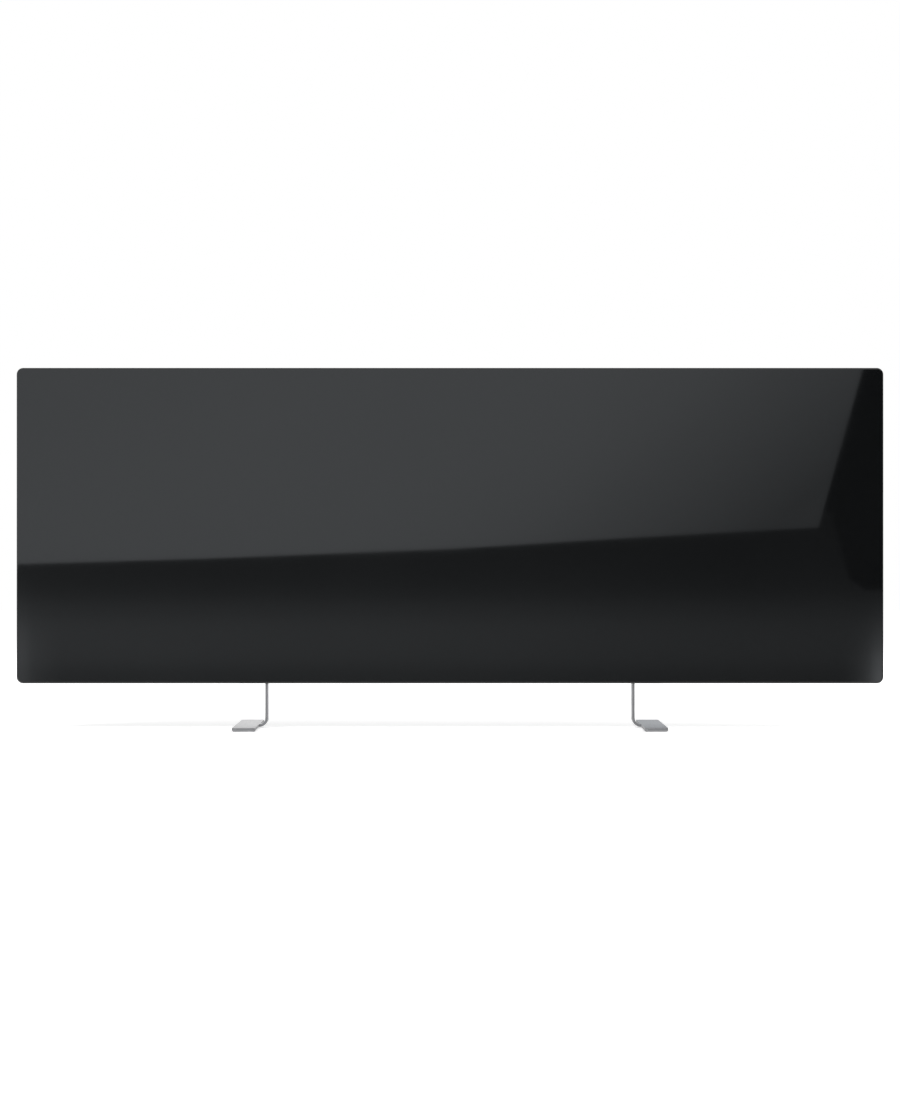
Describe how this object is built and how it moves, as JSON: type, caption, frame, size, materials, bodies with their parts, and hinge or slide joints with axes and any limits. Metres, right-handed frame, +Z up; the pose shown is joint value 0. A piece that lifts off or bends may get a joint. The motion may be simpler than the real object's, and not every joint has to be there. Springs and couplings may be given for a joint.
{
  "type": "panel heater",
  "caption": "Slim free-standing panel heater with a wide black glass front, a shallow vented steel housing, side controls and bent steel plate legs.",
  "frame": {"origin": "on the floor, midway between the legs and midway along the feet", "axes": "+X to the right as seen from the front, +Y to the rear, +Z up"},
  "size_m": [1, 0.18, 0.416],
  "materials": {
    "black_glass": "gloss black, painted on the back",
    "silicone": "cured sealant, satin",
    "heater_film": "amber polyimide film",
    "copper": "bare copper",
    "mineral_board": "pressed mineral fibre",
    "aluminium_sheet": "mill finish",
    "coated_steel": "fine-textured black powder coat",
    "zinc_steel": "zinc plated",
    "leg_steel": "satin grey metallic",
    "black_screw": "black oxide",
    "pad_rubber": "grey silicone rubber",
    "black_plastic": "fine spark texture",
    "key_plastic": "polished black",
    "button_plastic": "satin dark grey",
    "smoked_window": "smoked, polished",
    "circuit_board": "solder mask",
    "white_plastic": "moulded",
    "relay_plastic": "moulded",
    "red_lead": "silicone insulation",
    "blue_lead": "silicone insulation",
    "earth_green": "silicone insulation",
    "grey_lead": "silicone insulation"
  },
  "bodies": {
    "heater": {"front_glass": "black_glass", "glass_seal": "silicone", "housing_frame": "coated_steel", "rear_cover": "coated_steel", "cover_screws": "black_screw", "rail_left": "zinc_steel", "rail_right": "zinc_steel", "heating_film": "heater_film", "heating_track": "copper", "film_lugs": "copper", "insulation_board": "mineral_board", "reflector_sheet": "aluminium_sheet", "leg_left": "leg_steel", "leg_right": "leg_steel", "leg_screws": "zinc_steel", "leg_nuts": "zinc_steel", "pads_left": "pad_rubber", "pads_right": "pad_rubber", "control_fascia": "black_plastic", "fascia_screws": "black_screw", "control_box": "black_plastic", "display_window": "smoked_window", "display_module": "black_plastic", "control_board": "circuit_board", "tact_switches": "black_plastic", "rocker_body": "black_plastic", "rocker_blades": "copper", "power_relay": "relay_plastic", "gland_body": "black_plastic", "gland_nut": "black_plastic", "gland_cap": "black_plastic", "gland_seal": "silicone", "terminal_block": "white_plastic", "terminal_screws": "zinc_steel", "earth_stud": "zinc_steel", "air_sensor": "white_plastic", "thermal_cutout": "aluminium_sheet", "live_lead": "red_lead", "switched_lead": "red_lead", "heater_lead": "red_lead", "return_lead": "blue_lead", "earth_lead": "earth_green", "sensor_lead": "grey_lead"},
    "rocker": {"rocker_key": "key_plastic"},
    "plus": {"button_plus": "button_plastic"},
    "minus": {"button_minus": "button_plastic"},
    "mode": {"button_mode": "button_plastic"}
  },
  "joints": [
    {"name": "rocker_tilt", "type": "hinge", "parent": "heater", "child": "rocker", "pos_m": [0.4765, 0.0025, 0.2496], "axis": [0, -1, 0], "range_deg": [0, 20]},
    {"name": "plus_press", "type": "slide", "parent": "heater", "child": "plus", "axis": [-1, 0, 0], "range_m": [0, 0.0008], "stiffness_N_per_m": 1500},
    {"name": "minus_press", "type": "slide", "parent": "heater", "child": "minus", "axis": [-1, 0, 0], "range_m": [0, 0.0008], "stiffness_N_per_m": 1500},
    {"name": "mode_press", "type": "slide", "parent": "heater", "child": "mode", "axis": [-1, 0, 0], "range_m": [0, 0.0008], "stiffness_N_per_m": 1500}
  ]
}
